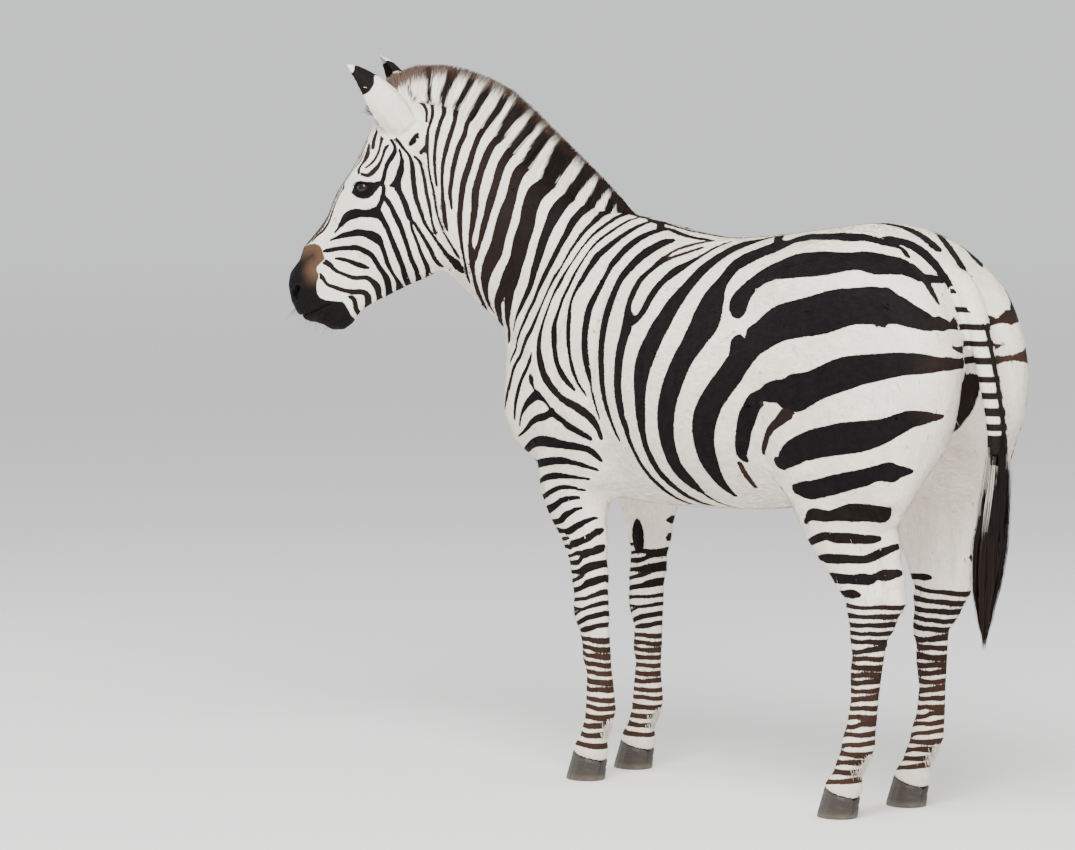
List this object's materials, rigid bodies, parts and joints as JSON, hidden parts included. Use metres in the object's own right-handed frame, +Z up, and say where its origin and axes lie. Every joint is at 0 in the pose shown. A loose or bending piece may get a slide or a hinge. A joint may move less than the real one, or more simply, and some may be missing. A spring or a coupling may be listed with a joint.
{
  "type": "plains zebra",
  "caption": "Standing zebra with its head turned to its left, upright mane, pricked ears and a tasselled tail; a still life-size animal.",
  "frame": {"origin": "on the ground under the middle of the whole animal's box", "axes": "+Z up, +Y towards the tail, +X to the animal's left"},
  "size_m": [0.7418, 1.8282, 1.6716],
  "materials": {
    "coat": "short smooth coat, black stripes on cream white",
    "hair": "long coarse hair, dark brown to black",
    "eye": "wet and glossy, near black",
    "horn": "dark hoof horn, faint growth rings"
  },
  "bodies": {
    "root": {"head": "coat", "neck": "coat", "trunk": "coat", "mane": "hair", "tail_dock": "coat", "tail_tuft": "hair", "ear_left": "coat", "ear_right": "coat", "eye_left": "eye", "eye_right": "eye", "leg_front_left": "coat", "leg_front_right": "coat", "leg_hind_left": "coat", "leg_hind_right": "coat", "hoof_front_left": "horn", "hoof_front_right": "horn", "hoof_hind_left": "horn", "hoof_hind_right": "horn"}
  },
  "joints": []
}
